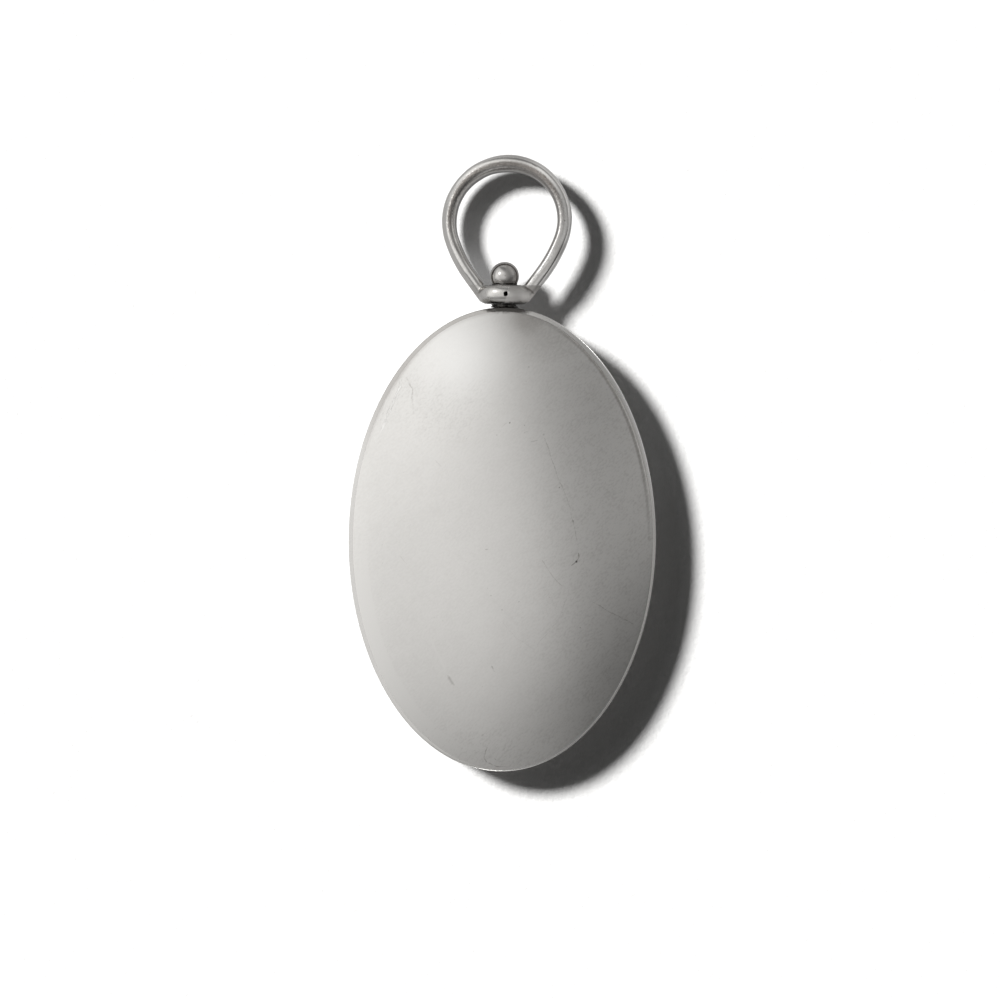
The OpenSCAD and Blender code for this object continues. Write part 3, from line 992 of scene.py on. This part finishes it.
def make_floor():
    made = bpy.data.materials.new("white_paper")
    made.use_nodes = True
    w = Wiring(made.node_tree)
    shader = made.node_tree.nodes["Principled BSDF"]
    shader.inputs["Roughness"].default_value = 1.0
    shader.inputs["Specular IOR Level"].default_value = 0.0
    shader.inputs["Emission Color"].default_value = (1, 1, 1, 1)
    mirrored = w.tree.nodes.new("ShaderNodeLightPath").outputs["Is Glossy Ray"]
    w.put(shader.inputs["Base Color"], w.blend(mirrored, PAPER, MIRRORED_PAPER))
    position = w.node("ShaderNodeTexCoord", out="Object")
    place = (THROWN_AT[0] * MM, THROWN_AT[1] * MM, 0)
    # Painted light: the floor glows in the loop's shadow, where the collar and the ball would throw light
    thrown = w.math("ADD", w.spot(position, place, 0.8 * MM, 3.4 * MM, 0.1),
                    w.spot(position, place, 3 * MM, 6 * MM, 0.035))
    thrown = w.times(thrown, w.rest(mirrored))
    w.put(shader.inputs["Emission Strength"], w.linear(mirrored, MIRRORED_GLOW, thrown))
    grain = w.noise(position, 2600.0, 4.0, 0.65)
    w.put(shader.inputs["Normal"],
          w.node("ShaderNodeBump", {"Height": grain, "Strength": 1.0, "Distance": PAPER_GRAIN}))
    bm = bmesh.new()
    bmesh.ops.create_grid(bm, x_segments=1, y_segments=1, size=0.8)
    mesh = bpy.data.meshes.new("floor")
    bm.to_mesh(mesh)
    bm.free()
    mesh.materials.append(made)
    floor = placed("floor", mesh)
    floor.location.z = -0.00001
    return floor


floor = make_floor()

# The main light's turn up from the left, in degrees, and its rise above the floor
LIGHT_TURN = 31
LIGHT_RISE = math.radians(48)
LIGHT_COLOUR = (1.0, 0.995, 0.985)
# Spread in degrees and rise of the low lights on the rim
RIM_SPREAD = 12
RIM_RISE = math.radians(5)


def collection_of(name, objects):
    group = bpy.data.collections.new(name)
    for o in objects:
        group.objects.link(o)
    return group


def make_key(name, strength, spread, receivers, blockers=(), turn=LIGHT_TURN, rise=LIGHT_RISE):
    """Sun lamp that lights the receivers, shaded by the blockers alone where they are given. Its spread
    and its turn up from the left are in degrees."""
    lamp = bpy.data.lights.new(name, "SUN")
    lamp.energy = strength
    lamp.angle = math.radians(spread)
    lamp.color = LIGHT_COLOUR
    obj = placed(name, lamp)
    turn = math.radians(turn)
    level = math.cos(rise)
    towards = Vector((-math.cos(turn) * level, math.sin(turn) * level, math.sin(rise)))
    obj.rotation_euler = towards.to_track_quat("Z", "Y").to_euler()
    obj.light_linking.receiver_collection = collection_of(name + "_lights", receivers)
    if blockers:
        obj.light_linking.blocker_collection = collection_of(name + "_shades", blockers)
    return lamp


def make_rim_key(name, strength, turn):
    """Low light on the case alone, left out of what the case throws on the floor."""
    lamp = make_key(name, strength, RIM_SPREAD, [case], turn=turn, rise=RIM_RISE)
    lamp.use_nodes = True
    w = Wiring(lamp.node_tree)
    bounces = w.tree.nodes.new("ShaderNodeLightPath").outputs["Diffuse Depth"]
    w.put(w.tree.nodes["Emission"].inputs["Strength"], w.fade(bounces, 1.0, 0.0))


make_key("paper_key", strength=5.15, spread=11.5, receivers=[floor])
# The bright wire throws a little light into its own shadow
make_key("wire_glow", strength=0.2, spread=30, receivers=[floor], blockers=[case, cover, pin])
make_key("paper_halo", strength=0.113, spread=80, receivers=[floor], rise=LIGHT_RISE + 0.2)
make_key("wire_key", strength=0.2, spread=13, receivers=[bail, pin])
# Low lights that catch the rim's rounded edge at the upper right and at the lower end
make_rim_key("rim_key_upper", strength=0.2, turn=134)
make_rim_key("rim_key_lower", strength=0.3, turn=-84)


def ramp(w, value, stops):
    """Grey value along a row of (place, value) stops, placed from 0 to 1."""
    made = w.tree.nodes.new("ShaderNodeValToRGB")
    made.color_ramp.interpolation = "LINEAR"
    points = made.color_ramp.elements
    while len(points) > 1:
        points.remove(points[-1])
    points[0].position, points[0].color = stops[0][0], (*(stops[0][1],) * 3, 1)
    for place, level in stops[1:]:
        points.new(place).color = (*(level,) * 3, 1)
    w.put(made.inputs[0], value)
    return made.outputs[0]


# Soft light seen in the metal: angle from overhead and strength, towards the upper right and then
# towards the upper end
ACROSS = [(-90, 0.55), (-72, 0.85), (-52, 1.12), (-35, 0.84), (-20, 0.94), (-10, 0.91), (0, 0.8),
          (9, 0.78), (15, 0.47), (21, 0.42), (28, 0.31), (50, 0.32), (62, 0.5), (78, 0.95), (90, 1.1)]
LENGTHWAYS = [(-90, 0.8), (-75, 0.65), (-60, 0.38), (-45, 0.26), (-30, 0.27), (-20, 0.75), (-10, 0.83),
              (0, 0.97), (10, 0.88), (20, 1.15), (30, 1.25), (40, 1.15), (60, 1.0), (90, 0.75)]
ACROSS_TURN = math.radians(30)
LENGTHWAYS_TURN = math.radians(107)
SKY_COLOUR = (1, 1, 0.99, 1)
# Strength of the light that the camera sees past the floor, and of what reaches the floor
CAMERA_SKY = 0.85
FLOOR_SKY = 0.008
# Share of the soft light that is left out of what the metal throws down into the shadow
LOST_IN_SHADOW = 0.4


def at(degrees):
    """Place from 0 to 1 of an angle from overhead."""
    return (degrees + 90) / 180


def make_world():
    world = bpy.data.worlds.new("soft_studio")
    world.use_nodes = True
    bpy.context.scene.world = world
    world.cycles.sampling_method = "NONE"
    w = Wiring(world.node_tree)
    world.node_tree.nodes.clear()
    way = w.node("ShaderNodeTexCoord", out="Generated")
    overhead = w.node("ShaderNodeSeparateXYZ", {0: way}, "Z")

    def angle(turn):
        side = w.vector("DOT_PRODUCT", way, (math.cos(turn), math.sin(turn), 0), out="Value")
        return w.linear(w.math("ARCTAN2", side, overhead), 1 / math.pi, 0.5)

    def light(place, rows):
        return ramp(w, place, [(at(a), v) for a, v in rows])

    def dimmed(level, mask, amount):
        """Light that changes by an amount where the mask says."""
        return w.times(level, w.linear(mask, amount, 1.0))

    across, lengthways = angle(ACROSS_TURN), angle(LENGTHWAYS_TURN)
    level = w.times(light(across, ACROSS), light(lengthways, LENGTHWAYS))
    # Towards the lower end the light falls off more on the right
    level = dimmed(level, w.fade(lengthways, at(-16), at(-28)), w.fade(across, at(-20), at(18), 0.04, -0.38))
    level = dimmed(level, w.fade(across, at(19), at(32)), w.fade(lengthways, at(-18), at(16), 0.42, -0.18))
    path = w.tree.nodes.new("ShaderNodeLightPath").outputs
    level = dimmed(level, w.math("MINIMUM", path["Diffuse Depth"], 1.0), -LOST_IN_SHADOW)
    fill = w.linear(path["Is Camera Ray"], CAMERA_SKY, FLOOR_SKY)
    strength = w.math("ADD", w.times(path["Is Glossy Ray"], level),
                      w.times(w.rest(path["Is Glossy Ray"]), fill))
    back = w.node("ShaderNodeBackground", {"Color": SKY_COLOUR, "Strength": strength})
    w.node("ShaderNodeOutputWorld", {"Surface": back})


make_world()

# The picture: its side and the oval's centre in pixels, and its scale at a height between rim and loop
PICTURE = 1000
OVAL_AT = (502.26, 539.34)
PX_PER_MM = 15.43
SCALE_HEIGHT = 2.8
PICTURE_LEAN = math.radians(0.51)


def make_camera():
    """Straight above, turned so that the oval's top leans a little to the right."""
    lens = bpy.data.cameras.new("camera")
    lens.lens = 200
    lens.sensor_width = 36
    lens.clip_start, lens.clip_end = 0.01, 10
    camera = placed("camera", lens)
    distance = PICTURE / PX_PER_MM * lens.lens / lens.sensor_width
    turn = Matrix.Rotation(PICTURE_LEAN, 3, "Z")
    middle = Vector((OVAL_AT[0] - PICTURE / 2, PICTURE / 2 - OVAL_AT[1], 0)) / PX_PER_MM
    centre = Vector((0, oval_y, 0)) - turn @ middle
    camera.location = Vector((centre.x, centre.y, distance + SCALE_HEIGHT)) * MM
    camera.rotation_euler = (0, 0, PICTURE_LEAN)
    bpy.context.scene.camera = camera


make_camera()

view = bpy.context.scene.view_settings
view.view_transform = "Standard"
view.look = "None"
